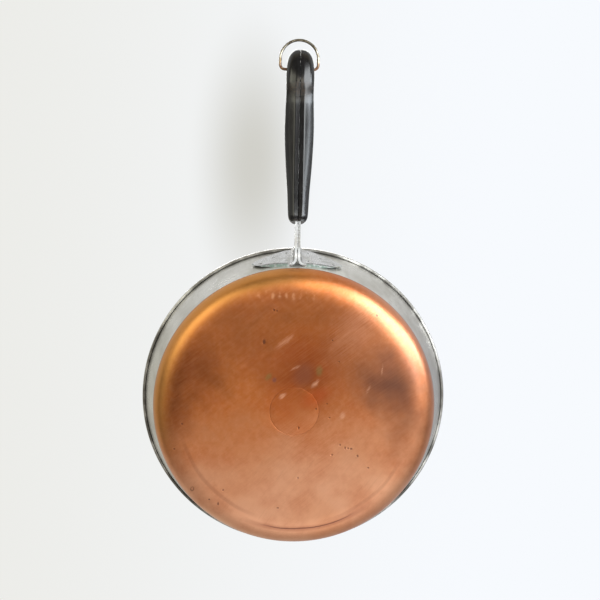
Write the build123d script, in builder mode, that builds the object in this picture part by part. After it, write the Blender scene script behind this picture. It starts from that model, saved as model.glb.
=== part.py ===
"""A ten-inch skillet with a copper-clad base, built as its separate pieces.

The pan is a stainless steel shell with a curled rim, inside a thin copper cup that clads the
base and the corner. Two pressed steel leaves, spot-welded to the wall, meet as a tang. A
phenolic handle in two halves closes over the tang, held by two screws with square nuts, and
a wire ring swings in a hole through the tip of the handle.

The pan stands on its base: origin at the centre of the underside, +Z up, handle along +X.
Lengths are in millimetres and angles in degrees.
"""
import os
from math import asin, ceil, cos, degrees, radians, sin, sqrt, tan

from build123d import *

os.makedirs("parts", exist_ok=True)

# Pan shell and copper base. The outline is that of the copper's outside; what lies further
# in is inset from it.
copper_thickness = 0.5
steel_thickness = 1.0
base_radius = 99.9
corner_radius = 18.7
wall_flare = 15.8
copper_edge_height = 15.0
bead_height = 50.0
bead_radius = 1.65
bead_turn = 275.0
stamp_radius = 20.5
stamp_width = 0.7
stamp_depth = 0.15

# Bracket leaves
leaf_thickness = 2.0
tang_gap = 0.6
leaf_bend_radius = 7.1
flange_bottom = 19.5
flange_top = 46.5
flange_root = 9.0
flange_end = 38.5
flange_rise = 3.2
flange_end_radius = 4.5
flange_end_fillet = 4.4
flange_gap = 0.02
tang_height = 11.5
tang_depth = 40.0
tang_low_rise = 0.5
tang_top_reach = 2.0
bend_to_handle = 8.0
tang_overlap = 4.0
spare_below = 2.0
spare_above = 4.0
weld_radius = 0.9
weld_places = ((9.0, 41.0), (19.7, 34.0), (30.4, 27.3), (9.0, 26.0))

# Handle. Stations along it are measured from its pan end, up the slope of its axis.
handle_start = (152.2, 45.2)
handle_slope = 20.0
handle_length = 150.0
handle_step = 4.0
shoulder = 0.8
seam_gap = 0.2
tang_clearance = 0.1
pocket_start = -4.0
pocket_end = 41.0
peg_radius = 2.0
peg_length = 4.0
peg_clearance = 0.1
socket_spare = 0.5
peg_stations = (60.0, 88.0)

# (station, half width, top, bottom, half width of the flat strip, height of the flank)
handle_sections = (
    (0.0, 5.6, 6.6, -7.6, 2.4, 2.8),
    (1.2, 7.0, 8.0, -9.0, 3.0, 3.8),
    (3.6, 8.1, 8.8, -9.9, 3.5, 4.6),
    (9.0, 8.6, 9.1, -10.1, 3.8, 5.0),
    (25.0, 9.4, 9.0, -9.8, 4.1, 5.4),
    (50.0, 11.2, 9.0, -9.2, 4.1, 6.0),
    (78.0, 12.4, 9.6, -9.0, 4.1, 6.4),
    (102.0, 12.0, 10.0, -9.6, 4.1, 6.0),
    (110.0, 11.7, 10.1, -11.2, 4.3, 5.6),
    (117.0, 11.8, 10.0, -13.4, 4.8, 5.4),
    (127.0, 12.0, 9.2, -14.8, 5.0, 5.8),
    (136.0, 11.4, 7.4, -14.4, 4.6, 5.8),
    (143.0, 9.8, 4.3, -12.8, 3.6, 5.0),
    (147.5, 7.0, 0.8, -10.6, 2.4, 3.4),
    (149.4, 4.2, -2.0, -8.4, 1.4, 1.8),
    (handle_length, 1.8, -3.8, -6.6, 0.6, 0.8),
)

# Screws and square nuts
screw_stations = (17.5, 111.5)
screw_names = ("rear", "front")
screw_half_widths = (9.0, 11.8)
shank_radius = 2.0
shank_clearance = 0.1
head_radius = 3.6
head_height = 2.4
head_recess = 1.2
head_clearance = 0.3
head_round = 0.9
slot_width = 1.1
slot_depth = 1.2
nut_width = 7.0
nut_height = 3.0
nut_recess = 1.0
nut_clearance = 0.15
nut_chamfer = 0.5
nut_bore_clearance = 0.02

# Hang ring
ring_station = 134.2
ring_lift = -1.0
ring_wire_radius = 1.2
ring_clearance = 0.08
ring_mouth = 0.5
ring_half_width = 11.4
ring_bend_radius = 16.3
ring_corner_radius = 4.2
ring_centre_reach = 8.9
ring_sideways = -1.0
ring_rest_slope = 9.9

flare_sin = sin(radians(wall_flare))
flare_cos = cos(radians(wall_flare))
slope_sin = sin(radians(handle_slope))
slope_cos = cos(radians(handle_slope))
big = 400.0


def wall_foot(inset):
    """The point where the corner turns into the straight wall."""
    reach = corner_radius - inset
    return (base_radius + reach * flare_cos, corner_radius - reach * flare_sin)


def wall_radius(inset, height):
    """The wall's radius at a height."""
    foot = wall_foot(inset)
    return foot[0] + (height - foot[1]) * tan(radians(wall_flare))


def wall_point(inset, height_outside):
    """The point across the wall from the outline's point at a height."""
    outside = (wall_radius(0, height_outside), height_outside)
    return (outside[0] - inset * flare_cos, outside[1] + inset * flare_sin)


def cup_outline(inset, top):
    """The base, the corner and the straight wall, inset from the outline."""
    Line((0, inset), (base_radius, inset))
    CenterArc((base_radius, corner_radius), corner_radius - inset, -90, 90 - wall_flare)
    Line(wall_foot(inset), top)


def handle_point(station, lift):
    """The (x, z) of a place on the handle's middle plane."""
    along = station * slope_cos - lift * slope_sin
    up = station * slope_sin + lift * slope_cos
    return (handle_start[0] + along, handle_start[1] + up)


def handle_plane(station):
    """A plane across the handle: local x is +Y, local y is away from the underside."""
    x, z = handle_point(station, 0)
    return Plane(origin=(x, 0, z), x_dir=(0, 1, 0), z_dir=(slope_cos, 0, slope_sin))


def side_plane(station, lift, y=0.0):
    """A plane facing +Y at a place on the handle: local y is along the handle."""
    x, z = handle_point(station, lift)
    return Plane(origin=(x, y, z), x_dir=(-slope_sin, 0, slope_cos), z_dir=(0, 1, 0))


# --- pan shell: base, corner and wall as one pressing, its edge curled outwards ---
inner = copper_thickness + steel_thickness
curl_inside = bead_radius - steel_thickness
curl_start = wall_point(copper_thickness, bead_height)
curl_centre = (curl_start[0] + curl_inside * flare_cos, curl_start[1] - curl_inside * flare_sin)
curl_from = 180 - wall_flare
with BuildPart() as pan_shell:
    with BuildSketch(Plane.XZ):
        with BuildLine():
            cup_outline(copper_thickness, curl_start)
            curl_under = CenterArc(curl_centre, curl_inside, curl_from, -bead_turn)
            curl_over = CenterArc(curl_centre, bead_radius, curl_from, -bead_turn)
            Line(curl_under @ 1, curl_over @ 1)
            cup_outline(inner, curl_over @ 0)
            Line((0, copper_thickness), (0, inner))
        make_face()
    revolve(axis=Axis.Z)
pan_shell.part.label = "pan_shell"
export_step(pan_shell.part, "parts/pan_shell.step")

# --- copper base: a cup over the underside and the corner, with a plain stamped ring ---
with BuildPart() as copper_base:
    with BuildSketch(Plane.XZ):
        with BuildLine():
            outer_edge = wall_point(0, copper_edge_height)
            inner_edge = wall_point(copper_thickness, copper_edge_height)
            cup_outline(0, outer_edge)
            Line(outer_edge, inner_edge)
            cup_outline(copper_thickness, inner_edge)
            Line((0, 0), (0, copper_thickness))
        make_face()
        with BuildLine():
            Polyline(
                (stamp_radius - stamp_width / 2, 0),
                (stamp_radius, stamp_depth),
                (stamp_radius + stamp_width / 2, 0),
                close=True,
            )
        make_face(mode=Mode.SUBTRACT)
    revolve(axis=Axis.Z)
copper_base.part.label = "copper_base"
export_step(copper_base.part, "parts/copper_base.step")


# --- bracket leaves: a flange lying on the wall, a bend, and half of the tang ---
def leaf_section(height):
    """The leaf's plan at a height: along the tang, round the bend and along the wall."""
    wall = wall_radius(copper_thickness, height) + flange_gap
    bend_y = tang_gap / 2 + leaf_bend_radius
    bend_x = sqrt((wall + leaf_bend_radius) ** 2 - bend_y**2)
    touch = degrees(asin(bend_y / (wall + leaf_bend_radius)))
    along_wall = degrees(asin((flange_end + leaf_thickness) / wall)) - touch
    outer_y = tang_gap / 2 + leaf_thickness
    with BuildSketch(Plane.XY.offset(height)) as section:
        with BuildLine():
            Line((bent_part_end, tang_gap / 2), (bend_x, tang_gap / 2))
            CenterArc((bend_x, bend_y), leaf_bend_radius, -90, touch - 90)
            back = CenterArc((0, 0), wall, touch, along_wall)
            front = CenterArc((0, 0), wall + leaf_thickness, touch, along_wall)
            Line(back @ 1, front @ 1)
            CenterArc((bend_x, bend_y), leaf_bend_radius - leaf_thickness, -90, touch - 90)
            Line((bend_x, outer_y), (bent_part_end, outer_y))
            Line((bent_part_end, outer_y), (bent_part_end, tang_gap / 2))
        make_face()
    return section.sketch


bent_part_end = handle_start[0] - bend_to_handle
tang_start = bent_part_end - tang_overlap
tang_face = Plane.XZ.offset(-tang_gap / 2)
slope = (slope_cos, slope_sin)
back_slope = (-slope_cos, -slope_sin)

with BuildPart() as bracket_leaf_right:
    loft(
        [leaf_section(flange_bottom - spare_below), leaf_section(flange_top + spare_above)],
        ruled=True,
    )
    # Seen from the front the flange is a wing, high at the tang and low at its rounded end.
    with BuildSketch(Plane.YZ):
        with BuildLine():
            Polyline(
                (0, flange_bottom),
                (flange_root, flange_bottom),
                (flange_end, flange_bottom + flange_rise),
                (flange_end, flange_bottom + flange_rise + 2 * flange_end_radius),
                (flange_root, flange_top),
                (0, flange_top),
                close=True,
            )
        wing = make_face()
        fillet(wing.vertices().group_by(Axis.X)[-1], flange_end_fillet)
        with Locations((flange_root / 2, flange_top)):
            Rectangle(flange_root, 2 * spare_above)
    extrude(amount=big, mode=Mode.INTERSECT)
    # Seen from the side the leaf narrows into the tang, which runs on into the handle.
    with BuildSketch(tang_face) as leaf_side:
        with BuildLine():
            lower = Spline(
                (wall_foot(0)[0], flange_bottom),
                (curl_start[0], flange_bottom + tang_low_rise),
                handle_point(0, -tang_height / 2),
                tangents=((1, 0), slope),
            )
            end_low = handle_point(tang_depth, -tang_height / 2)
            end_high = handle_point(tang_depth, tang_height / 2)
            Polyline(lower @ 1, end_low, end_high, handle_point(0, tang_height / 2))
            upper = Spline(
                handle_point(0, tang_height / 2),
                (curl_start[0] + tang_top_reach, flange_top),
                (wall_foot(0)[0], flange_top),
                tangents=(back_slope, (-1, 0)),
            )
            Line(upper @ 1, lower @ 0)
        make_face()
    extrude(amount=-big, mode=Mode.INTERSECT)
    with BuildSketch(tang_face):
        add(leaf_side.sketch)
        with Locations((tang_start + big / 2, 0)):
            Rectangle(big, big, mode=Mode.INTERSECT)
    extrude(amount=-leaf_thickness)
    with Locations(side_plane(screw_stations[0], 0)):
        Cylinder(shank_radius + shank_clearance, big, mode=Mode.SUBTRACT)
    # Each spot weld has left a small round pit in the flange.
    for weld_y, weld_z in weld_places:
        weld_x = sqrt((wall_radius(copper_thickness, weld_z) + leaf_thickness) ** 2 - weld_y**2)
        with Locations((weld_x, weld_y, weld_z)):
            Sphere(weld_radius, mode=Mode.SUBTRACT)
bracket_leaf_right.part.label = "bracket_leaf_right"
export_step(bracket_leaf_right.part, "parts/bracket_leaf_right.step")

with BuildPart() as bracket_leaf_left:
    mirror(bracket_leaf_right.part, about=Plane.XZ)
bracket_leaf_left.part.label = "bracket_leaf_left"
export_step(bracket_leaf_left.part, "parts/bracket_leaf_left.step")

# --- handle: one outline, split into two halves that close over the tang ---
def handle_shape(station):
    """The section's five measures at a station, eased between the stations that are given."""
    after = next(i for i, row in enumerate(handle_sections) if row[0] >= station)
    after = max(after, 1)
    low, high = handle_sections[after - 1], handle_sections[after]
    before = handle_sections[max(after - 2, 0)]
    beyond = handle_sections[min(after + 1, len(handle_sections) - 1)]
    span = high[0] - low[0]
    t = (station - low[0]) / span
    shape = []
    for i in range(1, len(low)):
        leaving = span * (high[i] - before[i]) / (high[0] - before[0])
        arriving = span * (beyond[i] - low[i]) / (beyond[0] - low[0])
        rise = high[i] - low[i]
        eased = low[i] + t * t * (3 - 2 * t) * rise
        eased += t * (1 - t) ** 2 * leaving - t * t * (1 - t) * arriving
        shape.append(eased)
    return shape


handle_stations = []
for row, next_row in zip(handle_sections, handle_sections[1:]):
    steps = ceil((next_row[0] - row[0]) / handle_step)
    handle_stations += [row[0] + (next_row[0] - row[0]) * i / steps for i in range(steps)]
handle_stations.append(handle_length)

with BuildPart() as handle_blank:
    for station in handle_stations:
        half_width, top, bottom, strip, flank = handle_shape(station)
        edge = bottom + flank
        shoulder_height = edge + shoulder * (top - edge)
        with BuildSketch(handle_plane(station)):
            with BuildLine():
                Polyline((-half_width, edge), (-strip, bottom), (strip, bottom), (half_width, edge))
                Spline(
                    (half_width, edge),
                    (shoulder * half_width, shoulder_height),
                    (0, top),
                    (-shoulder * half_width, shoulder_height),
                    (-half_width, edge),
                    tangents=((0, 1), (0, -1)),
                )
            make_face()
    loft(ruled=True)


def handle_half(side):
    """One half: side is 1 for the right half, on +Y, and -1 for the left one."""
    with BuildPart() as half:
        add(handle_blank.part)
        with Locations((0, side * big / 2, 0)):
            Box(2 * big, big - seam_gap, 2 * big, mode=Mode.INTERSECT)
        # Half of the pocket that the tang fills, open at the pan end.
        with BuildSketch(Plane.XZ):
            with Locations(handle_point((pocket_start + pocket_end) / 2, 0)):
                Rectangle(
                    pocket_end - pocket_start,
                    tang_height + 2 * tang_clearance,
                    rotation=handle_slope,
                )
        pocket_depth = tang_gap / 2 + leaf_thickness + tang_clearance
        extrude(amount=pocket_depth, both=True, mode=Mode.SUBTRACT)
        for station, half_width in zip(screw_stations, screw_half_widths):
            with Locations(side_plane(station, 0)):
                Cylinder(shank_radius + shank_clearance, big, mode=Mode.SUBTRACT)
            if side < 0:
                head_floor = half_width - head_recess - head_height
                with Locations(side_plane(station, 0, -head_floor - big / 2)):
                    Cylinder(head_radius + head_clearance, big, mode=Mode.SUBTRACT)
            else:
                nut_floor = half_width - nut_recess - nut_height
                pocket_width = nut_width + 2 * nut_clearance
                with Locations(side_plane(station, 0, nut_floor + big / 2)):
                    Box(pocket_width, pocket_width, big, mode=Mode.SUBTRACT)
        # The ring's hole, with a worn mouth.
        hole_radius = ring_wire_radius + ring_clearance
        with Locations(side_plane(ring_station, ring_lift)):
            Cylinder(hole_radius, big, mode=Mode.SUBTRACT)
        wide = hole_radius + 2 * ring_mouth
        mouth = (hole_radius, wide) if side > 0 else (wide, hole_radius)
        with Locations(side_plane(ring_station, ring_lift, side * ring_half_width)):
            Cone(*mouth, 2 * ring_mouth, mode=Mode.SUBTRACT)
        # Pegs on the left half keep the halves in line in sockets in the right half.
        for station in peg_stations:
            with Locations(side_plane(station, 0)):
                if side < 0:
                    Cylinder(peg_radius, 2 * peg_length)
                else:
                    socket_radius = peg_radius + peg_clearance
                    Cylinder(socket_radius, 2 * (peg_length + socket_spare), mode=Mode.SUBTRACT)
    return half.part


for name, side in (("handle_half_left", -1), ("handle_half_right", 1)):
    half = handle_half(side)
    half.label = name
    export_step(half, f"parts/{name}.step")

# --- screws from the left and square nuts on the right ---
for name, station, half_width in zip(screw_names, screw_stations, screw_half_widths):
    head_top = half_width - head_recess
    nut_top = half_width - nut_recess
    with BuildPart() as screw:
        with Locations(side_plane(station, 0, -head_top + head_height / 2)):
            Cylinder(head_radius, head_height)
        fillet(screw.faces().sort_by(Axis.Y)[0].edges(), head_round)
        with Locations(side_plane(station, 0, (nut_top - head_top + head_height) / 2)):
            Cylinder(shank_radius, nut_top + head_top - head_height)
        with Locations(side_plane(station, 0, -head_top)):
            Box(slot_width, 2 * head_radius, 2 * slot_depth, mode=Mode.SUBTRACT)
    screw.part.label = f"{name}_screw"
    export_step(screw.part, f"parts/{name}_screw.step")

    with BuildPart() as nut:
        with Locations(side_plane(station, 0, nut_top - nut_height / 2)):
            Box(nut_width, nut_width, nut_height)
            chamfer(nut.edges().filter_by(Axis.Y), nut_chamfer)
            Cylinder(shank_radius + nut_bore_clearance, nut_height, mode=Mode.SUBTRACT)
    nut.part.label = f"{name}_nut"
    export_step(nut.part, f"parts/{name}_nut.step")

# --- hang ring: one bent wire, its straight side through the handle ---
pivot_x, pivot_z = handle_point(ring_station, ring_lift)
ring_slope = radians(ring_rest_slope)
ring_plane = Plane(
    origin=(pivot_x, ring_sideways, pivot_z),
    x_dir=(0, 1, 0),
    z_dir=(sin(ring_slope), 0, -cos(ring_slope)),
)
bar_half = ring_bend_radius - ring_corner_radius
with BuildPart() as hang_ring:
    with BuildLine(ring_plane) as ring_path:
        Line((0, 0), (bar_half, 0))
        CenterArc((bar_half, ring_corner_radius), ring_corner_radius, -90, 90)
        Line((ring_bend_radius, ring_corner_radius), (ring_bend_radius, ring_centre_reach))
        CenterArc((0, ring_centre_reach), ring_bend_radius, 0, 180)
        Line((-ring_bend_radius, ring_centre_reach), (-ring_bend_radius, ring_corner_radius))
        CenterArc((-bar_half, ring_corner_radius), ring_corner_radius, 180, 90)
        Line((-bar_half, 0), (0, 0))
    with BuildSketch(Plane(origin=ring_plane.origin, z_dir=(0, 1, 0))):
        Circle(ring_wire_radius)
    sweep(path=ring_path.wire())
hang_ring.part.label = "hang_ring"
export_step(hang_ring.part, "parts/hang_ring.step")
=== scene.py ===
"""A copper-clad steel skillet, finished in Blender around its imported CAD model.

The pan stands on the floor at z = 0 with its handle along +X. The camera looks up at the
copper underside, so the floor is one-sided: it shows only from above.
"""
import math
from functools import reduce

import bmesh
import bpy
from mathutils import Matrix, Vector


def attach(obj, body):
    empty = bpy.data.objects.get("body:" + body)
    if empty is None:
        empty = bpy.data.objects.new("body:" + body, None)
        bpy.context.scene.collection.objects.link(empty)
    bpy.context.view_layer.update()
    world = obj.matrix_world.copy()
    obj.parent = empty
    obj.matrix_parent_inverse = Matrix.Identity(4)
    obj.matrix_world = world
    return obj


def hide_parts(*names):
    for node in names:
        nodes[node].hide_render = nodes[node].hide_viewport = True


MM = 0.001

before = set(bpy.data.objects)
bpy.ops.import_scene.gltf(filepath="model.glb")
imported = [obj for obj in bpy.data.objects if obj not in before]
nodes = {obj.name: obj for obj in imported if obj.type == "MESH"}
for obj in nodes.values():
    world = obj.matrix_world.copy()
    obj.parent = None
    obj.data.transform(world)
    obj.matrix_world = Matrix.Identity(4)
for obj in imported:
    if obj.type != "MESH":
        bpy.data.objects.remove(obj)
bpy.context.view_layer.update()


# --- objects and meshes ---
def add_object(name, data):
    """A new object in the scene."""
    made = bpy.data.objects.new(name, data)
    bpy.context.scene.collection.objects.link(made)
    return made


def add_mesh(name, shape):
    """A new object made from a shape, which is used up."""
    mesh = bpy.data.meshes.new(name)
    shape.to_mesh(mesh)
    shape.free()
    return add_object(name, mesh)


def band(shape, low, high):
    """Faces between two rings of points; either ring may be a single point, but not both."""
    count = max(len(low), len(high))
    for i in range(count):
        j = (i + 1) % count
        corners = [low[i % len(low)], low[j % len(low)], high[j % len(high)], high[i % len(high)]]
        shape.faces.new(list(dict.fromkeys(corners))).smooth = True


# --- camera: below the handle's tip, looking up at the copper, with +X up in the view ---
camera_place = Vector((0.3130, -0.0264, -1.2143))
camera_aim = Vector((0.0942, 0.0025, 0))
camera_lean = math.radians(-1.4)
camera_lens = 90.28
camera_near = 0.05


def look():
    """Sets the camera up and makes it the scene's own."""
    camera = add_object("camera", bpy.data.cameras.new("camera"))
    ahead = (camera_aim - camera_place).normalized()
    upright = Vector((math.cos(camera_lean), math.sin(camera_lean), 0))
    right = ahead.cross(upright).normalized()
    turn = Matrix((right, right.cross(ahead), -ahead)).transposed().to_4x4()
    camera.matrix_world = Matrix.Translation(camera_place) @ turn
    camera.data.lens = camera_lens
    camera.data.clip_start = camera_near
    bpy.context.scene.camera = camera


look()


# --- materials: a socket wrapper for the sums, and one method for every other node ---
class Val:
    """A node's output, whose arithmetic adds Math nodes to its tree."""

    def __init__(self, wiring, socket):
        self.wiring = wiring
        self.socket = socket

    def sum(self, operation, *values):
        """A Math node's result."""
        return self.wiring.node("ShaderNodeMath", {"operation": operation}, dict(enumerate(values)))

    def __add__(self, other):
        return self.sum("ADD", self, other)

    def __sub__(self, other):
        return self.sum("SUBTRACT", self, other)

    def __rsub__(self, other):
        return self.sum("SUBTRACT", other, self)

    def __mul__(self, other):
        return self.sum("MULTIPLY", self, other)

    def __truediv__(self, other):
        return self.sum("DIVIDE", self, other)

    def __pow__(self, other):
        return self.sum("POWER", self, other)

    def __abs__(self):
        return self.sum("ABSOLUTE", self)

    __radd__ = __add__
    __rmul__ = __mul__

    def atop(self, other):
        """The larger of the two."""
        return self.sum("MAXIMUM", self, other)

    def step(self, low, high):
        """0 up to low, 1 from high, eased between them; low may be above high."""
        if low > high:
            return 1 - self.step(high, low)
        values = {"Value": self, "From Min": low, "From Max": high}
        settings = {"interpolation_type": "SMOOTHSTEP"}
        return self.wiring.node("ShaderNodeMapRange", settings, values)


class Wiring:
    """The nodes of one tree."""

    mark_height = 60

    def __init__(self, tree):
        self.tree = tree

    def put(self, socket, value):
        """Links or sets one input."""
        if isinstance(value, Val):
            self.tree.links.new(value.socket, socket)
        else:
            socket.default_value = value

    def node(self, kind, settings=None, values=None, output=0):
        """Adds a node, sets it, feeds its sockets and returns one of its outputs."""
        made = self.tree.nodes.new(kind)
        for name, value in (settings or {}).items():
            setattr(made, name, value)
        for name, value in (values or {}).items():
            self.put(made.inputs[name], value)
        return Val(self, made.outputs[output])

    def place(self):
        """The place on the object, in millimetres, in the CAD frame."""
        return self.shift(self.node("ShaderNodeTexCoord", output="Object"), (1 / MM,) * 3)

    def shift(self, vector, scale=(1, 1, 1), turn=(0, 0, 0), move=(0, 0, 0)):
        """The vector, scaled, turned and moved, so that noise can be stretched along it."""
        values = {"Vector": vector, "Location": move, "Rotation": turn, "Scale": scale}
        return self.node("ShaderNodeMapping", None, values)

    def noise(self, vector, scale, detail=3.0, rough=0.5):
        """Soft noise about 0.5."""
        values = {"Vector": vector, "Scale": scale, "Detail": detail, "Roughness": rough}
        return self.node("ShaderNodeTexNoise", None, values)

    def axes(self, vector):
        """The vector's three numbers."""
        made = self.node("ShaderNodeSeparateXYZ", None, {0: vector})
        return [Val(self, made.socket.node.outputs[i]) for i in range(3)]

    def join(self, x, y, z):
        """Three numbers as a vector."""
        return self.node("ShaderNodeCombineXYZ", None, {0: x, 1: y, 2: z})

    def tint(self, mask, under, over):
        """One colour over another by a mask."""
        return self.node("ShaderNodeMix", {"data_type": "RGBA"}, {0: mask, 6: under, 7: over}, 2)

    def mark(self, at, middle, reach, turn=0.0, blur=0.4):
        """1 on an upright oval column about a middle in X and Y, 0 off it."""
        values = {
            "Vector": at,
            "Location": (*middle, 0),
            "Rotation": (0, 0, math.radians(turn)),
            "Scale": (*reach, self.mark_height),
        }
        inside = self.node("ShaderNodeMapping", {"vector_type": "TEXTURE"}, values)
        apart = self.node("ShaderNodeVectorMath", {"operation": "LENGTH"}, {0: inside}, "Value")
        return apart.step(1 + blur, max(1 - blur, 0))

    def ragged(self, at, size, amount):
        """The place, pushed about by noise, so that marks have uneven edges."""
        push = self.node("ShaderNodeTexNoise", None, {"Vector": at, "Scale": 1 / size}, "Color")
        values = {0: push, 1: (2 * amount,) * 3, 2: (-amount,) * 3}
        moved = self.node("ShaderNodeVectorMath", {"operation": "MULTIPLY_ADD"}, values)
        return self.node("ShaderNodeVectorMath", {"operation": "ADD"}, {0: at, 1: moved})

    def grain(self, at, turn, along, across, detail=4.0):
        """Noise drawn out into lines at an angle about the upright, sizes in millimetres."""
        turned = self.shift(at, turn=(0, 0, math.radians(-turn)))
        return self.noise(self.shift(turned, (1 / along, 1 / across, 1 / across)), 1.0, detail)


class Finish(Wiring):
    """A material: its Principled shader, its skin of colours and its relief of bumps."""

    def __init__(self, name, **constants):
        self.material = bpy.data.materials.new(name)
        self.material.use_nodes = True
        super().__init__(self.material.node_tree)
        self.shader = self.tree.nodes["Principled BSDF"]
        for socket, value in constants.items():
            self.shader.inputs[socket.replace("_", " ")].default_value = value
        self.skin = None
        self.relief = None

    def lay(self, mask, colour):
        """Lays a colour over the skin by a mask."""
        self.skin = self.tint(mask, self.skin, colour)

    def lay_marks(self, at, marks, blur, colour, within=None):
        """Lays oval marks of one colour, each a (middle, reach, turn, strength)."""
        for middle, reach, turn, strength in marks:
            mask = self.mark(at, middle, reach, turn, blur)
            if within is not None:
                mask = mask * within
            self.lay(mask * strength, colour)

    def dent(self, height, depth):
        """Adds a bump of the given depth in millimetres to the relief."""
        values = {"Height": height, "Distance": depth * MM, "Strength": 1.0}
        if self.relief is not None:
            values["Normal"] = self.relief
        self.relief = self.node("ShaderNodeBump", None, values)

    def feed(self, **inputs):
        """Feeds the shader's own sockets."""
        for name, value in inputs.items():
            self.put(self.shader.inputs[name.replace("_", " ")], value)

    def coat(self, *pieces, **inputs):
        """Feeds the shader the skin, the relief and more, and puts the finish on pieces."""
        self.feed(Base_Color=self.skin, Normal=self.relief, **inputs)
        for piece in pieces:
            piece.data.materials.clear()
            piece.data.materials.append(self.material)


def overlaid(masks):
    """Several masks as one."""
    return reduce(Val.atop, masks)


def rgb(red, green, blue):
    """A colour as it looks on a screen, 0 to 255, as linear light."""
    parts = [c / 255 for c in (red, green, blue)]
    linear = [c / 12.92 if c < 0.04045 else ((c + 0.055) / 1.055) ** 2.4 for c in parts]
    return (*linear, 1.0)


# --- floor: pale, seen from above only, fading out away from the pan ---
floor_size = 12.0
floor_fades_from = 500
floor_gone_at = 2600


def floor_sheet(name):
    """A square sheet facing up, at z = 0."""
    half = floor_size / 2
    shape = bmesh.new()
    corners = [(-half, -half, 0), (half, -half, 0), (half, half, 0), (-half, half, 0)]
    shape.faces.new([shape.verts.new(corner) for corner in corners])
    return add_mesh(name, shape)


def paint_floor(sheet):
    """Matt paint that is clear from below and far out."""
    paint = Finish("floor_paint", Roughness=0.9)
    paint.feed(Base_Color=rgb(226, 226, 224))
    from_below = paint.node("ShaderNodeNewGeometry", output="Backfacing")
    x, y = paint.axes(paint.place())[:2]
    faded = ((x * x + y * y) ** 0.5).step(floor_fades_from, floor_gone_at)
    painted = Val(paint, paint.shader.outputs[0])
    clear = paint.node("ShaderNodeBsdfTransparent")
    values = {0: from_below.atop(faded), 1: painted, 2: clear}
    one_sided = paint.node("ShaderNodeMixShader", None, values)
    paint.put(paint.tree.nodes["Material Output"].inputs["Surface"], one_sided)
    sheet.data.materials.append(paint.material)


# only the camera sees the floor, so it neither shades the pan nor shows in the metal
floor = floor_sheet("floor")
paint_floor(floor)
floor.visible_shadow = False
floor.visible_diffuse = False
floor.visible_glossy = False
floor.visible_transmission = False


# --- surround: what the camera sees behind the pan, and what the metal reflects ---
def light_surround(world):
    """A pale backdrop for the camera, darker towards -Y and with a painted shadow of the handle; a
    wall, a dim band and a room for the reflections.
    """
    world.use_nodes = True
    sky = Wiring(world.node_tree)
    direction = sky.node("ShaderNodeTexCoord", output="Generated")
    east, north, height = sky.axes(direction)

    # painted shade: the backdrop is darker towards -Y, and the oval mark is a painted shadow of the
    # handle on it
    backdrop = sky.tint(north.step(-0.22, 0.16), rgb(236, 236, 232), rgb(247, 250, 254))
    shade = sky.mark(direction, (-0.088, -0.010), (0.058, 0.024), 0, 0.9)
    backdrop = sky.tint(shade * 0.75, backdrop, rgb(196, 194, 184))

    wall = sky.tint(north.step(-0.7, 0.7), rgb(208, 206, 195), rgb(180, 180, 184))
    wall = sky.tint(east.step(-0.2, 0.5), wall, rgb(236, 236, 234))
    room = sky.tint(east.step(-0.9, 0.35), rgb(186, 180, 174), rgb(110, 103, 97))
    dim_band = sky.tint(abs(north).step(0.60, 0.92), rgb(186, 182, 176), rgb(40, 38, 36))
    dim_band = sky.tint(east.step(0.30, 0.75), dim_band, rgb(214, 198, 166))
    around = sky.tint(height.step(-0.26, -0.15), room, dim_band)
    around = sky.tint(height.step(-0.03, 0.10), around, wall)

    seen = sky.node("ShaderNodeLightPath", output="Is Camera Ray")
    sky.put(sky.tree.nodes["Background"].inputs["Color"], sky.tint(seen, around, backdrop))


bpy.context.scene.world = bpy.data.worlds.new("surround")
light_surround(bpy.context.scene.world)
bpy.context.scene.view_settings.view_transform = "Standard"

# --- lights: soft boxes that face the pan, as windows and a room would light it ---
soft_boxes = (
    # (name, direction from the pan, distance, size, power, colour)
    ("window_right", (0.42, 0.61, -0.67), 1.5, 1.2, 40, (0.94, 0.98, 1.0)),
    ("window_left", (0.42, -0.67, -0.61), 1.6, 0.95, 9.5, (1.0, 0.98, 0.80)),
    ("side_window", (0.30, 0.93, -0.19), 1.6, 0.55, 11, (0.88, 0.94, 1.0)),
    ("side_left", (0.32, -0.93, -0.18), 1.6, 0.50, 0.9, (1.0, 0.98, 0.88)),
    ("ceiling", (0.44, 0.03, -0.90), 1.6, 0.28, 1.5, (1.0, 0.90, 0.72)),
    ("room_low", (-0.62, 0.12, -0.78), 1.8, 1.1, 3.4, (1.0, 0.97, 0.95)),
    ("above", (0.20, -0.05, 0.98), 2.2, 1.0, 26, (1.0, 0.99, 0.97)),
)

for name, towards, distance, size, power, colour in soft_boxes:
    lamp = bpy.data.lights.new(name, "AREA")
    lamp.shape = "SQUARE"
    lamp.size = size
    lamp.energy = power
    lamp.color = colour
    box = add_object(name, lamp)
    box.location = Vector(towards).normalized() * distance
    box.rotation_mode = "QUATERNION"
    box.rotation_quaternion = Vector(towards).to_track_quat("Z", "Y")

# --- pan shell and copper base: turned from their outlines ---
copper_sheet = 0.5
steel_sheet = 1.0
sheet_gap = 0.02
flat_radius = 99.9
flat_rings = (30, 45, 60, 75, 86)
middle_ring = 10
corner = 18.7
corner_ease = 7.0
corner_leaves = 0.52
corner_arrives = 0.46
corner_steps = 22
flare = math.radians(15.8)
wall_foot = 14.2
wall_steps = 8
bead_height = 50.0
bead_radius = 1.65
bead_turn = math.radians(275)
bead_blend = 0.6
bead_inner_steps = 20
bead_outer_steps = 30
rim_wobble = 0.12
rim_lobes = 3
copper_edge = 15.0
stamp_radius = 20.5
stamp_width = 0.8
stamp_depth = 0.1
# across the stamped groove in half widths, with the share of the depth there
stamp_groove = (
    (-1.6, 0.0), (-0.9, 0.25), (-0.35, 0.85), (0, 1.0), (0.35, 0.85), (0.9, 0.25), (1.6, 0.0),
)
facets = 256
turned_sharp = math.radians(40)


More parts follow.
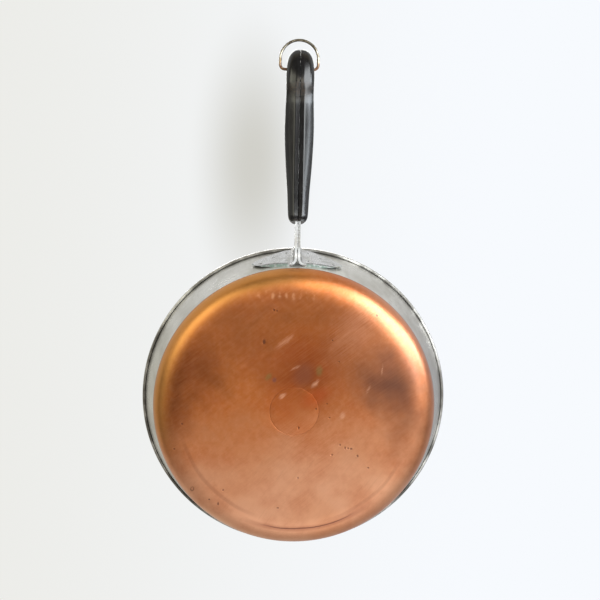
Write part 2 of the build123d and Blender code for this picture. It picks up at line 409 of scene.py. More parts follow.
def arc(centre, radius, start, turn, count):
    """Points on an arc, both ends included."""
    steps = [start + turn * i / count for i in range(count + 1)]
    return [(centre[0] + radius * math.cos(a), centre[1] + radius * math.sin(a)) for a in steps]


def corner_curve(inset):
    """The corner between base and wall, its curvature eased in where it leaves the flat."""
    reach = corner - inset
    start = Vector((flat_radius - corner_ease, inset))
    leaving = Vector((flat_radius + reach * corner_leaves, inset))
    end = Vector((flat_radius + reach * math.cos(flare), corner - reach * math.sin(flare)))
    arriving = end - Vector((math.sin(flare), math.cos(flare))) * reach * corner_arrives
    curve = []
    for i in range(corner_steps + 1):
        t = i / corner_steps
        shares = ((1 - t) ** 3, 3 * t * (1 - t) ** 2, 3 * t * t * (1 - t), t**3)
        spot = Vector((0, 0))
        for share, point in zip(shares, (start, leaving, arriving, end)):
            spot += share * point
        curve.append(tuple(spot))
    return curve


def wall_at(inset, height):
    """A point up the straight wall."""
    foot = corner_curve(inset)[-1]
    return (foot[0] + (height - foot[1]) * math.tan(flare), height)


def cup(inset, top):
    """The flat, the corner and the wall up to a height, from the middle outwards."""
    flat = [(radius, inset) for radius in flat_rings]
    rise = (top - wall_foot) / wall_steps
    wall = [wall_at(inset, wall_foot + rise * i) for i in range(1, wall_steps + 1)]
    return flat + corner_curve(inset) + wall


def lathe(name, outline, wobble=0.0):
    """Turns an outline of (radius, height) about the pan's axis into a closed shell."""
    shape = bmesh.new()
    rings = []
    for radius, height in outline:
        if radius == 0:
            rings.append([shape.verts.new((0, 0, height * MM))])
            continue
        ring = []
        for i in range(facets):
            a = 2 * math.pi * i / facets
            out = radius + wobble * math.sin(rim_lobes * a + 1) * (height / bead_height) ** 2
            spot = Vector((out * math.cos(a), out * math.sin(a), height))
            ring.append(shape.verts.new(spot * MM))
        rings.append(ring)
    for low, high in zip(rings, rings[1:] + rings[:1]):
        if len(low) + len(high) > 2:
            band(shape, low, high)
    bmesh.ops.recalc_face_normals(shape, faces=shape.faces)
    piece = add_mesh(name, shape)
    piece.data.set_sharp_from_angle(angle=turned_sharp)
    return piece


def pan_outline():
    """Round the steel's section: under the base, up the wall, round the curl and back inside."""
    tight = bead_radius - steel_sheet
    foot = wall_at(copper_sheet, bead_height)
    centre = (foot[0] + tight * math.cos(flare), foot[1] - tight * math.sin(flare))
    start = math.pi - flare
    lip_turn = start - bead_turn
    lip_reach = (tight + bead_radius) / 2
    outside = cup(copper_sheet, bead_height)[:-1]
    under = arc(centre, tight, start, -bead_turn, bead_inner_steps)
    lip = (centre[0] + lip_reach * math.cos(lip_turn), centre[1] + lip_reach * math.sin(lip_turn))
    over = arc(centre, bead_radius, lip_turn, bead_turn, bead_outer_steps)
    inside = cup(copper_sheet + steel_sheet, bead_height - bead_blend)[::-1]
    middle = [(0, copper_sheet + steel_sheet), (0, copper_sheet)]
    return outside + under + [lip] + over + inside + middle


def copper_outline():
    """Round the copper's section, out over the stamped ring to the edge and back inside."""
    half = stamp_width / 2
    stamp = [(stamp_radius + half * x, stamp_depth * share) for x, share in stamp_groove]
    outside = [(0, 0), (middle_ring, 0)] + stamp + cup(0, copper_edge)
    top = wall_at(copper_sheet / 2, copper_edge + copper_sheet / 2)
    inside = cup(copper_sheet - sheet_gap, copper_edge)[::-1]
    return outside + [top] + inside + [(0, copper_sheet - sheet_gap)]


pan_shell = lathe("steel_pan", pan_outline(), rim_wobble)
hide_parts("pan_shell")
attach(pan_shell, "pan")
copper_cup = lathe("copper_cup", copper_outline())
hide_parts("copper_base")
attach(copper_cup, "pan")
copper_cup.visible_diffuse = False  # keeps an orange glow off the floor

# --- handle halves: swept along the handle's own axis, then cut for what they hold ---
handle_start = Vector((152.2, 0, 45.2))
handle_slope = math.radians(20)
handle_along = Vector((math.cos(handle_slope), 0, math.sin(handle_slope)))
handle_up = Vector((-math.sin(handle_slope), 0, math.cos(handle_slope)))
handle_sections = (
    # (station, half width, top, bottom, half width of the flat strip, height of the flank)
    (0.0, 5.6, 6.6, -7.6, 2.4, 2.8),
    (1.2, 7.0, 8.0, -9.0, 3.0, 3.8),
    (3.6, 8.1, 8.8, -9.9, 3.5, 4.6),
    (9.0, 8.6, 9.1, -10.1, 3.8, 5.0),
    (25.0, 9.4, 9.0, -9.8, 4.1, 5.4),
    (50.0, 11.2, 9.0, -9.2, 4.1, 6.0),
    (78.0, 12.4, 9.6, -9.0, 4.1, 6.4),
    (102.0, 12.0, 10.0, -9.6, 4.1, 6.0),
    (110.0, 11.7, 10.1, -11.2, 4.3, 5.6),
    (117.0, 11.8, 10.0, -13.4, 4.8, 5.4),
    (127.0, 12.0, 9.2, -14.8, 5.0, 5.8),
    (136.0, 11.4, 7.4, -14.4, 4.6, 5.8),
    (143.0, 9.8, 4.3, -12.8, 3.6, 5.0),
    (147.5, 7.0, 0.8, -10.6, 2.4, 3.4),
    (149.4, 4.2, -2.0, -8.4, 1.4, 1.8),
    (150.0, 1.8, -3.8, -6.6, 0.6, 0.8),
)
section_spacing = 1.4
seam_gap = 0.2
seam_chamfer = 0.35
strip_hollow = 0.3
ridge_round = 3.2
ridge_steps = 5
ridge_share = 0.48
crown_steps = 18
crown_power = 0.78
knob_start = 112.0
knob_length = 8
moulded_sharp = math.radians(32)

tang_inside = 41
tang_outside = 4
tang_room_width = 4.8
tang_room_height = 11.7
screw_stations = (17.5, 111.5)
screw_half_widths = (9.0, 11.8)
head_radius = 3.9
head_seat = 3.6
nut_half = 3.65
nut_seat = 4.0
past_the_handle = 20
ring_station = 134.2
ring_lift = -1.0
ring_hole = 1.28
ring_hole_from = 0.02
ring_mouth = 2.6
ring_mouth_from = 10.4
ring_mouth_to = 12.4


def handle_shape(station):
    """The section's measures at a station, eased between the stations that are given."""
    after = max(1, next(i for i, row in enumerate(handle_sections) if row[0] >= station - 1e-6))
    low, high = handle_sections[after - 1], handle_sections[after]
    before = handle_sections[max(after - 2, 0)]
    beyond = handle_sections[min(after + 1, len(handle_sections) - 1)]
    span = high[0] - low[0]
    t = (station - low[0]) / span
    shape = []
    for i in range(1, len(low)):
        leaving = span * (high[i] - before[i]) / (high[0] - before[0])
        arriving = span * (beyond[i] - low[i]) / (beyond[0] - low[0])
        eased = low[i] + t * t * (3 - 2 * t) * (high[i] - low[i])
        eased += t * (1 - t) ** 2 * leaving - t * t * (1 - t) * arriving
        shape.append(eased)
    return shape


def handle_place(station, y, lift):
    """A place on the handle, in metres."""
    return (handle_start + handle_along * station + handle_up * lift + Vector((0, y, 0))) * MM


def rounded(points, radius):
    """An open polyline with its inner corners rounded."""
    out = [points[0]]
    for before, at, after in zip(points, points[1:], points[2:]):
        at = Vector(at)
        back = Vector(before) - at
        on = Vector(after) - at
        reach = min(radius, back.length * ridge_share, on.length * ridge_share)
        start = at + back.normalized() * reach
        end = at + on.normalized() * reach
        for i in range(ridge_steps + 1):
            t = i / ridge_steps
            out.append(tuple(start * (1 - t) ** 2 + at * 2 * t * (1 - t) + end * t * t))
    out.append(points[-1])
    return out


def half_section(station):
    """Half of the handle's section, from the seam under it round to the seam on top."""
    half_width, top, bottom, strip, flank = handle_shape(station)
    seam = seam_gap / 2
    chamfer = min(seam_chamfer, strip / 6)
    edge = bottom + flank
    # from the grip to the knob the strip's hollow closes, the strip narrows and the belly fills
    knob = min(1, max(0, (station - knob_start) / knob_length))
    hollow = strip_hollow * (1 - knob)
    strip *= 1 - 0.35 * knob
    belly_out = 0.52 + 0.18 * knob
    belly_lift = 0.42 - 0.16 * knob
    under = [
        (seam, bottom + hollow),
        (strip * 0.55, bottom + hollow * 0.6),
        (strip, bottom),
        (strip + (half_width - strip) * belly_out, bottom + flank * belly_lift),
        (half_width, edge),
    ]
    crown = []
    for i in range(1, crown_steps + 1):
        a = math.pi / 2 * i / crown_steps
        x = half_width * math.cos(a) ** crown_power if i < crown_steps else 0
        lift = edge + (top - edge) * math.sin(a) ** crown_power
        crown.append((max(x, seam + 1.5 * chamfer), lift))
    under = rounded(under + crown[:1], min(ridge_round + 2 * knob, half_width / 3))[:-1]
    outline = under + crown
    outline[0] = (seam + chamfer, outline[0][1])
    outline[-1] = (seam + chamfer, top)
    return [(seam, outline[0][1] + chamfer)] + outline + [(seam, top - chamfer)]


def handle_half(name, side):
    """One half of the handle: side is 1 on +Y and -1 on -Y."""
    stations = []
    for row, following in zip(handle_sections, handle_sections[1:]):
        steps = math.ceil((following[0] - row[0]) / section_spacing)
        stations += [row[0] + (following[0] - row[0]) * i / steps for i in range(steps)]
    stations.append(handle_sections[-1][0])
    shape = bmesh.new()
    rings = []
    for station in stations:
        places = [handle_place(station, side * y, lift) for y, lift in half_section(station)]
        rings.append([shape.verts.new(place) for place in places])
    for low, high in zip(rings, rings[1:]):
        band(shape, low, high)
    for end in (rings[0], rings[-1]):
        middle = shape.verts.new(sum((v.co for v in end), Vector()) / len(end))
        band(shape, end, [middle])
    bmesh.ops.recalc_face_normals(shape, faces=shape.faces)
    return add_mesh(name, shape)


def cutter(name, station, lift, profile, sides=60):
    """A closed plug across the handle, whose profile gives its radius at places along Y."""
    shape = bmesh.new()
    rings = []
    for y, radius in profile:
        ring = []
        for i in range(sides):
            a = 2 * math.pi * (i + 0.5) / sides
            along, up = radius * math.cos(a), radius * math.sin(a)
            ring.append(shape.verts.new(handle_place(station + along, y, lift + up)))
        rings.append(ring)
    for low, high in zip(rings, rings[1:]):
        band(shape, low, high)
    shape.faces.new(rings[0])
    shape.faces.new(rings[-1])
    bmesh.ops.recalc_face_normals(shape, faces=shape.faces)
    return add_mesh(name, shape)


def tang_room():
    """A box along the handle, in the tang's place."""
    shape = bmesh.new()
    bmesh.ops.create_cube(shape, size=1)
    box = add_mesh("tang_room", shape)
    turn = Matrix((handle_along, Vector((0, 1, 0)), handle_up)).transposed().to_4x4()
    length = tang_inside + tang_outside
    middle = handle_place((tang_inside - tang_outside) / 2, 0, 0)
    size = Matrix.Diagonal((length * MM, tang_room_width * MM, tang_room_height * MM, 1))
    box.data.transform(Matrix.Translation(middle) @ turn @ size)
    return box


def carve(piece, plugs):
    """Cuts the plugs out of a piece and throws them away."""
    for plug in plugs:
        cut = piece.modifiers.new("cut", "BOOLEAN")
        cut.operation = "DIFFERENCE"
        cut.solver = "FAST"
        cut.object = plug
    bpy.context.view_layer.update()
    finished = piece.evaluated_get(bpy.context.evaluated_depsgraph_get())
    carved = bpy.data.meshes.new_from_object(finished)
    piece.modifiers.clear()
    piece.data = carved
    for plug in plugs:
        bpy.data.objects.remove(plug)
    carved.shade_smooth()
    carved.set_sharp_from_angle(angle=moulded_sharp)


def fixing_room(side, station, half_width):
    """Room for a screw's round head on -Y, or for a square nut on +Y."""
    if side < 0:
        profile = ((head_seat - half_width, head_radius), (-past_the_handle, head_radius))
        return cutter("head_room", station, 0, profile)
    corner_reach = nut_half * math.sqrt(2)
    profile = ((half_width - nut_seat, corner_reach), (past_the_handle, corner_reach))
    return cutter("nut_room", station, 0, profile, sides=4)


for side, piece_name in ((-1, "handle_left"), (1, "handle_right")):
    half = handle_half(piece_name, side)
    plugs = [tang_room()]
    for station, half_width in zip(screw_stations, screw_half_widths):
        plugs.append(fixing_room(side, station, half_width))
    ring_room = (
        (ring_hole_from * side, ring_hole),
        (ring_mouth_from * side, ring_hole),
        (ring_mouth_to * side, ring_mouth),
    )
    plugs.append(cutter("ring_room", ring_station, ring_lift, ring_room))
    carve(half, plugs)
    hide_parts("handle_half_left" if side < 0 else "handle_half_right")
    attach(half, "pan")

# --- hang ring: a bent wire, a little out of true ---
ring_radius = 16.3
ring_corner = 4.2
ring_reach = 8.9
ring_sideways = -1.0
ring_rest = math.radians(9.9)
ring_bar_steps = 10
ring_corner_steps = 12
ring_arch_steps = 72
wire = 1.2
wire_sides = 20


def ring_path():
    """The wire's middle line in the ring's own plane: across, then away from the handle."""
    half = ring_radius - ring_corner
    path = [(half * (2 * i / ring_bar_steps - 1), 0.0) for i in range(1, ring_bar_steps)]
    path += arc((half, ring_corner), ring_corner, -math.pi / 2, math.pi / 2, ring_corner_steps)
    path += arc((0, ring_reach), ring_radius, 0, math.pi, ring_arch_steps)
    path += arc((-half, ring_corner), ring_corner, math.pi, math.pi / 2, ring_corner_steps)
    return path


def sweep_ring(name, path):
    """A closed round wire along the path."""
    pivot = handle_place(ring_station, 0, ring_lift) / MM
    out = Vector((math.cos(ring_rest), 0, math.sin(ring_rest)))
    across = Vector((0, 1, 0))
    upright = across.cross(out)
    spots = [pivot + across * (x + ring_sideways) + out * y for x, y in path]
    shape = bmesh.new()
    rings = []
    for i, spot in enumerate(spots):
        along = (spots[(i + 1) % len(spots)] - spots[i - 1]).normalized()
        inward = upright.cross(along)
        ring = []
        for k in range(wire_sides):
            a = 2 * math.pi * k / wire_sides
            edge = (inward * math.cos(a) + upright * math.sin(a)) * wire
            ring.append(shape.verts.new((spot + edge) * MM))
        rings.append(ring)
    for low, high in zip(rings, rings[1:] + rings[:1]):
        band(shape, low, high)
    bmesh.ops.recalc_face_normals(shape, faces=shape.faces)
    return add_mesh(name, shape)


ring = sweep_ring("hanging_ring", ring_path())
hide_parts("hang_ring")
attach(ring, "ring")

# --- dulled copper ---
# dark marks on the copper: partly real oxide stains, partly painted reflections of dark parts of
# the room
stain_and_dark_reflection_marks = (
    # (middle, reach, turn, strength)
    ((24, 80), (20, 22), 20, 0.90),
    ((0, 94), (30, 12), 0, 0.45),
    ((34, -80), (24, 17), -25, 0.62),
    ((8, -97), (28, 11), 0, 0.62),
    ((64, -40), (26, 36), 30, 0.42),
    ((86, 4), (13, 44), 0, 0.36),
    ((48, 34), (34, 28), 0, 0.30),
    ((105, -24), (7, 30), 12, 0.50),
)
pale_marks = (
    # (middle, reach, turn, strength)
    ((58.5, -10), (6.5, 1.8), 48, 0.34),
    ((62.5, -4.5), (3.8, 0.9), 36, 0.2),
    ((24, 17), (3.6, 1.4), 40, 0.55),
    ((37, 0), (3.8, 0.7), 60, 0.35),
    ((13, -10), (2.8, 1.4), 50, 0.6),
    ((-3, 40), (2.6, 1.6), 10, 0.6),
    ((37, 72), (3.5, 0.5), 5, 0.4),
    ((20, 61), (3.0, 0.8), 20, 0.3),
    ((70, 48), (24, 12), 40, 0.16),
    ((-60, 10), (36, 50), 0, 0.18),
)
pit_places = (
    # (x, y, reach along x, reach along y)
    (85.5, -18.6, 0.9, 0.8), (84.7, -16.2, 0.8, 0.7), (58.5, -26.3, 2.2, 1.4),
    (-28.1, 38.9, 0.9, 0.7), (-30.6, 43.2, 1.1, 0.6), (-31.0, 45.7, 0.9, 0.7),
    (-31.4, 48.2, 0.8, 1.0), (-36.8, 32.5, 0.8, 0.8), (-37.3, 53.8, 1.0, 0.9),
    (-47.5, 63.0, 0.7, 0.7), (-57.3, 4.5, 0.7, 0.7), (-34.6, -99.5, 0.8, 0.8),
    (-68.9, -58.1, 0.8, 0.8), (-81.2, -62.1, 1.3, 0.7), (-77.9, -69.7, 0.7, 0.7),
    (2.5, 18.0, 0.9, 0.8), (-12.5, -93.0, 0.9, 0.8), (-5.0, 29.5, 0.5, 0.8),
    (82.2, 66.2, 0.7, 0.8), (7.0, 27.0, 0.7, 0.7), (43.0, 36.0, 0.6, 0.7),
    (-14.0, 4.0, 1.2, 0.7), (61.0, 30.0, 0.5, 0.6), (-84.0, -12.0, 0.6, 0.9),
)
worn_arcs = (
    # (radius, width, direction, spread, strength, colour)
    (102.4, 3.4, 172, 36, 0.45, (150, 78, 52)),
    (102.0, 0.8, 172, 25, 0.75, (84, 40, 30)),
    (95.5, 2.6, 228, 34, 0.28, (140, 76, 48)),
    (98.5, 2.4, 140, 30, 0.25, (140, 76, 48)),
)
scuff_count = 9
scuff_row = 97.5
scuff_first = -31
scuff_pitch = 5.6


def heat_stain(copper, loose, smeared):
    """The burnt patch above the stamp, its purple middle, a red blush and green flecks."""
    heat = copper.mark(smeared, (34, 6), (30, 26), 30, 0.8)
    copper.lay(heat * 0.8, rgb(134, 62, 26))
    heat_middle = copper.mark(loose, (31, 7), (10, 8), 20, 0.6)
    copper.lay(heat_middle * 0.4, rgb(120, 78, 66))
    blush = copper.mark(loose, (12, 17), (12, 6), 60, 0.7)
    copper.lay(blush * 0.4, rgb(186, 72, 30))
    large_fleck = copper.mark(loose, (35, 20), (4, 2.6), 10, 0.6)
    small_fleck = copper.mark(loose, (29, -22), (3.2, 2), 40, 0.6)
    copper.lay(large_fleck.atop(small_fleck) * 0.45, rgb(122, 118, 70))
    return heat


def scuff_marks(copper, loose):
    """A row of pale scuffs on the corner, under the handle."""
    scuffs = []
    for i in range(scuff_count):
        middle = (scuff_row + 0.7 * math.sin(2.1 * i), scuff_first + scuff_pitch * i)
        scuffs.append(copper.mark(loose, middle, (2.2, 1.1), 4 * i % 9, 0.9))
    return overlaid(scuffs)


def pitting(copper, at):
    """Dark pits, a small loop and a grey spot; returns where the surface is pitted."""
    fine_edge = copper.ragged(at, 1.2, 0.45)
    pits = overlaid([
        copper.mark(fine_edge, (pit_x, pit_y), (along, across), 0, 0.5)
        for pit_x, pit_y, along, across in pit_places
    ])
    loop = copper.mark(fine_edge, (-69.4, -84.1), (2.3, 1.6), 20, 0.3)
    loop = loop - copper.mark(fine_edge, (-69.0, -84.1), (1.4, 0.9), 20, 0.3)
    grey_spot = copper.mark(fine_edge, (26.5, -17.0), (2.0, 1.7), 0, 0.5)
    tiny_pits = copper.noise(at, 0.95, 2.0, 0.5).step(0.735, 0.78)
    copper.lay(grey_spot * 0.6, rgb(112, 74, 72))
    copper.lay(loop * 0.6, rgb(96, 52, 30))
    copper.lay(pits * 0.75, rgb(52, 26, 26))
    copper.lay(tiny_pits * 0.4, rgb(110, 62, 38))
    return pits, tiny_pits


def worn_lines(copper, x, y, out, wander):
    """Dark lines worn along parts of circles round the middle, and round the stamped ring."""
    for radius, width, direction, spread, strength, colour in worn_arcs:
        towards = math.radians(direction)
        facing = (x * math.cos(towards) + y * math.sin(towards)) / out
        line = abs(wander - radius).step(width, width * 0.2)
        span = facing.step(math.cos(math.radians(spread)), math.cos(math.radians(spread * 0.45)))
        copper.lay(line * span * strength, rgb(*colour))
    within_stamp = out.step(stamp_radius + 0.4, stamp_radius)
    past_stamp = out.step(stamp_radius - 0.6, stamp_radius - 0.2)
    copper.lay(within_stamp * past_stamp * 0.35, rgb(120, 60, 36))


def dulled_copper():
    """Used copper with a painted sheen, pale at the far edge and darker towards the handle; a burnt
    patch, dark marks partly stained and partly painted reflection, a painted golden highlight and a
    dulling film.
    """
    copper = Finish("dulled_copper", Metallic=1.0, Coat_Roughness=0.34, Coat_IOR=1.7)
    at = copper.place()
    x, y, z = copper.axes(at)
    out = (x * x + y * y) ** 0.5
    loose = copper.ragged(at, 3.0, 1.1)
    smeared = copper.ragged(at, 22.0, 16.0)
    blotches = copper.noise(at, 0.030, 5.0, 0.58)
    clouds = copper.noise(copper.shift(at, move=(40, 7, 3)), 0.011, 3.0, 0.5)
    mottle = copper.noise(at, 0.22, 4.0, 0.62)
    polish = copper.grain(at, 52, 26.0, 0.7, 3.0)
    cross_polish = copper.grain(at, 34, 40.0, 1.2, 3.0)

    # painted sheen: paler towards -X and darker towards the handle, its edge broken up by the
    # blotches
    tone_and_painted_sheen = (x + (blotches - 0.5) * 90 - y * 0.12).step(-95, 22)
    copper.skin = copper.tint(tone_and_painted_sheen, rgb(233, 173, 136), rgb(190, 107, 50))
    copper.lay((clouds - 0.5).step(-0.10, 0.22) * 0.5, rgb(208, 128, 72))
    copper.lay(blotches.step(0.40, 0.72) * 0.5, rgb(178, 98, 55))
    copper.lay(mottle.step(0.35, 0.75) * 0.15, rgb(236, 176, 138))
    # partly stains, partly painted dark reflections
    copper.lay_marks(smeared, stain_and_dark_reflection_marks, 0.95, rgb(104, 54, 32))
    heat = heat_stain(copper, loose, smeared)
    copper.lay(copper.mark(loose, (0, 1), (22, 22), 0, 0.35) * 0.22, rgb(196, 104, 50))
    copper.lay_marks(loose, pale_marks, 0.9, rgb(240, 186, 152), polish.step(0.25, 0.6))
    copper.lay(scuff_marks(copper, loose) * mottle.step(0.3, 0.7) * 0.34, rgb(250, 196, 148))
    pits, tiny_pits = pitting(copper, at)
    worn_lines(copper, x, y, out, out + (blotches - 0.5) * 3)
    # painted highlight: a golden band on the corner towards +X and -Y
    painted_golden_highlight = z.step(0.2, 4) * ((x * 0.64 - y * 0.77) / out).step(0.35, 0.85)
    copper.lay(painted_golden_highlight * 0.75, rgb(204, 146, 78))
    copper.lay(polish.step(0.3, 0.75) * 0.08, rgb(244, 178, 132))
    copper.lay(cross_polish.step(0.5, 0.9) * 0.16, rgb(150, 84, 48))
    edge_grime = z.step(13.2, 15.0)
    copper.lay(edge_grime * 0.55, rgb(112, 66, 40))

    copper.dent(clouds, 0.22)
    copper.dent(blotches, 0.06)
    copper.dent(polish, 0.006)
    copper.dent(pits.atop(tiny_pits * 0.4) * -1, 0.12)
    gloss = 0.43 + (polish - 0.5) * 0.14 + (blotches - 0.5) * 0.22 - z.step(2, 8) * 0.06
    gloss = gloss + pits * 0.3 + heat * 0.04
    film = y.step(10, 85) * x.step(-70, 60) * 0.9 + x.step(-10, -90) * 0.35
    copper.coat(copper_cup, Roughness=gloss, Coat_Weight=film)


# --- steel of the pan ---
def satin_steel():
    """Satin wall with turned lines, a brighter curl and painted shade in the fold under it."""
    steel = Finish("satin_steel", Metallic=1.0)
    at = steel.place()
    x, y, z = steel.axes(at)
    out = (x * x + y * y) ** 0.5
    turned_lines = steel.noise(steel.join(out * 1.5, z * 1.5, x * 0.01), 1.0)
    smudge = steel.noise(at, 0.035, 4.0, 0.6)
    spots = steel.noise(at, 0.16, 3.0, 0.55).step(0.60, 0.72)
    drip = steel.noise(steel.join(out * 0.02, z * 0.04, y * 0.2), 1.0, 4.0).step(0.55, 0.7)
    cooked = steel.noise(at, 0.05, 5.0, 0.6)
    verdigris = steel.noise(at, 0.5, 4.0, 0.65)
    outer = (out - 100).step(0, 2)
    inside = z.step(1.2, 1.5) * (1 - outer)
    painted_crease_shade = z.step(45.6, 47.6) * z.step(49.2, 48.4) * outer
    meeting = z.step(16.6, 15.2) * z.step(14.0, 15.0) * (x / out).step(0.90, 0.99)
    by_bracket = abs(y).step(46, 38) * x.step(60, 90) * z.step(30, 22)

    steel.skin = steel.tint(smudge.step(0.35, 0.7), rgb(214, 213, 209), rgb(190, 188, 182))
    steel.lay(spots * 0.22, rgb(236, 236, 232))
    steel.lay(drip * 0.2, rgb(168, 164, 152))
    # painted shade in the fold under the curl
    steel.lay(painted_crease_shade * smudge.step(0.3, 0.6) * 0.75, rgb(44, 38, 32))
    steel.lay(inside * cooked.step(0.5, 0.75) * 0.3, rgb(176, 166, 148))
    steel.lay(meeting * verdigris.step(0.4, 0.6) * 0.6, rgb(126, 140, 92))
    steel.lay(by_bracket * verdigris.step(0.45, 0.65) * 0.4, rgb(188, 194, 178))

    steel.dent(smudge, 0.05)
    steel.dent(turned_lines, 0.004)
    gloss = 0.30 + (smudge - 0.5) * 0.20 + (turned_lines - 0.5) * 0.12
    gloss = gloss - z.step(47.5, 49.0) * 0.16 + painted_crease_shade * 0.4 + by_bracket * 0.22
    steel.coat(pan_shell, Roughness=gloss)


# --- pressed steel of the bracket ---
weld_places = ((9.0, 41.0), (19.7, 34.0), (30.4, 27.3), (9.0, 26.0))  # (y, z) on each leaf


def pressed_steel():
    """Bracket steel with weld pits, painted shade where the leaves meet, painted highlight on its
    downward faces, and verdigris with a painted shade line along its lower edge.
    """
    pressed = Finish("pressed_steel", Metallic=1.0)
    at = pressed.place()
    x, y, z = pressed.axes(at)
    aside = abs(y)
    smudge = pressed.noise(at, 0.11, 4.0, 0.6)
    rolled = pressed.grain(at, 20, 14.0, 0.5)
    speckle = pressed.noise(at, 0.8, 4.0, 0.7)
    above_edge = z - (aside - 9) * (3.2 / 29.5) - 19.5
    low_edge = above_edge.step(1.3, 0.5) * aside.step(6, 9)
    low_edge = low_edge.atop(aside.step(35.5, 37.0) * z.step(31, 28.5))
    # painted shade: a dark line just above the flange's lower edge
    painted_edge_shade = above_edge.step(0.9, 1.3) * above_edge.step(3.0, 2.0) * aside.step(6, 9)
    green = low_edge * pressed.noise(at, 0.45, 4.0, 0.7).step(0.28, 0.55)
    normal = pressed.node("ShaderNodeNewGeometry", output="Normal")
    downward = pressed.axes(normal)[2].step(-0.45, -0.80)
    # painted shade where the two leaves meet at the tang
    painted_crevice_shade = aside.step(5.0, 2.2) * x.step(137, 128) * z.step(32, 24) * (1 - downward)
    splash = pressed.noise(at, 0.9, 2.0, 0.5).step(0.62, 0.68) * painted_crevice_shade
    corner_stain = pressed.mark(at, (118.5, 38), (4.5, 4.5), 0, 0.6) * z.step(30, 24)
    on_leaf = pressed.join(aside, z, 0)
    weld_pits = overlaid([
        pressed.mark(on_leaf, weld, (0.95, 0.95), 0, 0.3) for weld in weld_places
    ]) * x.step(136, 132)
    # painted highlight: faces turned downward are painted pale and made less metallic
    painted_lit_underside = downward * x.step(119.5, 121.5) * (1 - weld_pits)
    dull_edge = painted_lit_underside * y.step(0.2, 0.5) * x.step(132, 136)

    pressed.skin = pressed.tint(smudge.step(0.35, 0.7), rgb(208, 209, 211), rgb(182, 182, 180))
    pressed.lay(painted_crevice_shade * 0.75, rgb(52, 48, 36))
    pressed.lay(painted_edge_shade * 0.85, rgb(48, 48, 42))
    pressed.lay(weld_pits * 0.85, rgb(48, 44, 38))
    pressed.lay(painted_lit_underside * 0.85, rgb(200, 202, 204))
    pressed.lay(dull_edge * speckle.step(0.38, 0.6) * 0.8, rgb(104, 104, 103))
    pressed.lay(green * 0.9, rgb(84, 104, 94))
    pressed.lay(corner_stain * 0.6, rgb(172, 170, 92))
    pressed.lay(splash * 0.8, rgb(226, 228, 222))

    pressed.dent(rolled, 0.006)
    pressed.dent(green * smudge, 0.08)
    bare = 1 - (green * 0.85).atop(splash).atop(painted_lit_underside * 0.7)
    gloss = 0.26 + (smudge - 0.5) * 0.2 + (rolled - 0.5) * 0.12 + green * 0.4
    leaves = (nodes["bracket_leaf_left"], nodes["bracket_leaf_right"])
    pressed.coat(*leaves, Metallic=bare, Roughness=gloss)


# --- black moulded handle ---
def black_phenolic():
    """Moulded black, rubbed along the grip, with dust in the notch under the knob."""
    moulded = Finish("black_phenolic", Specular_IOR_Level=0.5)
    at = moulded.place()
    turned = moulded.shift(at, turn=(0, handle_slope, 0))
    start = (-handle_start.dot(handle_along), 0, -handle_start.dot(handle_up))
    grip = moulded.shift(turned, move=start)
    along, _, lift = moulded.axes(grip)
    haze = moulded.noise(at, 0.09, 4.0, 0.6)
    rubbed = moulded.noise(moulded.shift(grip, (0.035, 1.1, 1.1)), 1.0, 4.0)
    nicks = moulded.noise(moulded.shift(grip, (0.5, 1.6, 1.6)), 1.0, 2.0).step(0.70, 0.76)
    dust = moulded.noise(at, 0.7, 3.0, 0.6)
    notch = along.step(106, 111) * along.step(121, 115) * lift.step(-7, -10)
    tip = along.step(138, 147)

    moulded.skin = moulded.tint(haze.step(0.35, 0.75), rgb(11, 11, 12), rgb(19, 19, 20))
    moulded.lay(rubbed.step(0.56, 0.8) * 0.22, rgb(52, 52, 54))
    moulded.lay(notch * dust.step(0.42, 0.66) * 0.45, rgb(74, 58, 44))
    moulded.lay(tip * dust.step(0.5, 0.7) * 0.3, rgb(60, 54, 48))
    moulded.lay(nicks * 0.22, rgb(76, 74, 72))

    moulded.dent(haze, 0.03)
    moulded.dent(rubbed, 0.004)
    moulded.dent(nicks * -1, 0.03)
    gloss = 0.23 + (haze - 0.5) * 0.16 + (rubbed - 0.5) * 0.08 + notch * 0.15 + nicks * 0.2
    halves = (bpy.data.objects["handle_left"], bpy.data.objects["handle_right"])
    moulded.coat(*halves, Roughness=gloss)


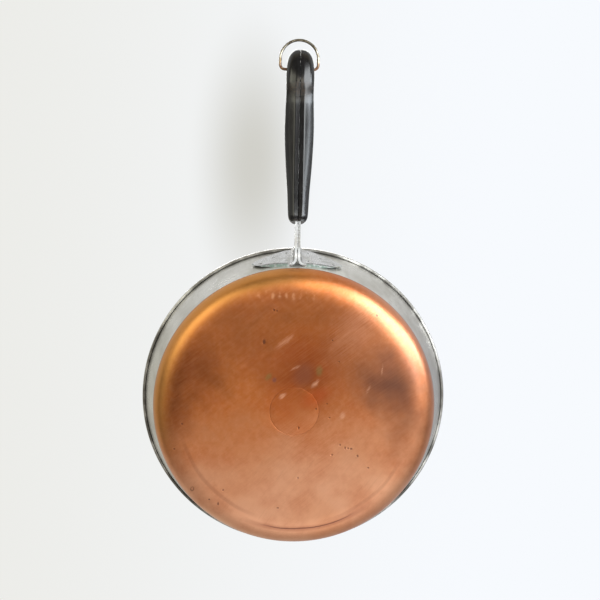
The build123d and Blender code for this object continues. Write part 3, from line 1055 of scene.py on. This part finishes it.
# --- plated wire of the ring ---
def plated_wire():
    """Tarnished plating, worn to gold by the handle and rusted where it turns in it."""
    plated = Finish("plated_wire", Metallic=1.0)
    at = plated.place()
    x, y, _ = plated.axes(at)
    pivot_x = handle_place(ring_station, 0, ring_lift).x / MM
    tarnish = plated.noise(at, 0.28, 4.0, 0.6)
    gold = abs(y + 1).step(11, 15) * x.step(pivot_x + 12, pivot_x + 4)
    near = x.step(pivot_x + 9, pivot_x + 1)
    rust = near * plated.noise(at, 0.5, 4.0, 0.7).step(0.36, 0.58)

    plated.skin = plated.tint(tarnish.step(0.35, 0.65), rgb(152, 149, 140), rgb(94, 84, 66))
    plated.lay(gold * 0.2, rgb(196, 156, 88))
    plated.lay(rust * 0.85, rgb(110, 58, 30))

    plated.dent(plated.noise(at, 1.4, 3.0, 0.6) * rust, 0.06)
    plated.dent(tarnish, 0.02)
    gloss = 0.16 + (tarnish - 0.5) * 0.16 + rust * 0.45
    plated.coat(ring, Metallic=1 - rust * 0.8, Roughness=gloss)


# --- screws and nuts ---
def browned_steel(name, bright, pieces):
    """Dark plated steel, browned in the corners."""
    fixing = Finish(name, Metallic=1.0)
    at = fixing.place()
    worn = fixing.noise(at, 0.5, 4.0, 0.65)
    browned = fixing.noise(at, 0.9, 3.0, 0.6).step(0.52, 0.66)
    fixing.skin = fixing.tint(worn.step(0.35, 0.6), bright, rgb(88, 82, 76))
    fixing.lay(browned * 0.6, rgb(96, 56, 34))
    fixing.dent(fixing.noise(at, 2.2, 3.0, 0.6), 0.02)
    gloss = 0.34 + (worn - 0.5) * 0.3 + browned * 0.3
    fixing.coat(*pieces, Metallic=1 - browned * 0.6, Roughness=gloss)


def soften(piece, round_over):
    """Rounds a piece's edges over by so many millimetres, without touching its mesh."""
    bevel = piece.modifiers.new("softened_edge", "BEVEL")
    bevel.width = round_over * MM
    bevel.segments = 2
    bevel.limit_method = "ANGLE"
    bevel.angle_limit = math.radians(40)
    bevel.harden_normals = True


screws = (nodes["rear_screw"], nodes["front_screw"])
nuts = (nodes["rear_nut"], nodes["front_nut"])

dulled_copper()
satin_steel()
pressed_steel()
black_phenolic()
plated_wire()
browned_steel("screw_steel", rgb(150, 148, 144), screws)
browned_steel("nut_steel", rgb(128, 126, 122), nuts)
for nut in nuts:
    soften(nut, 0.25)
for screw in screws:
    soften(screw, 0.12)
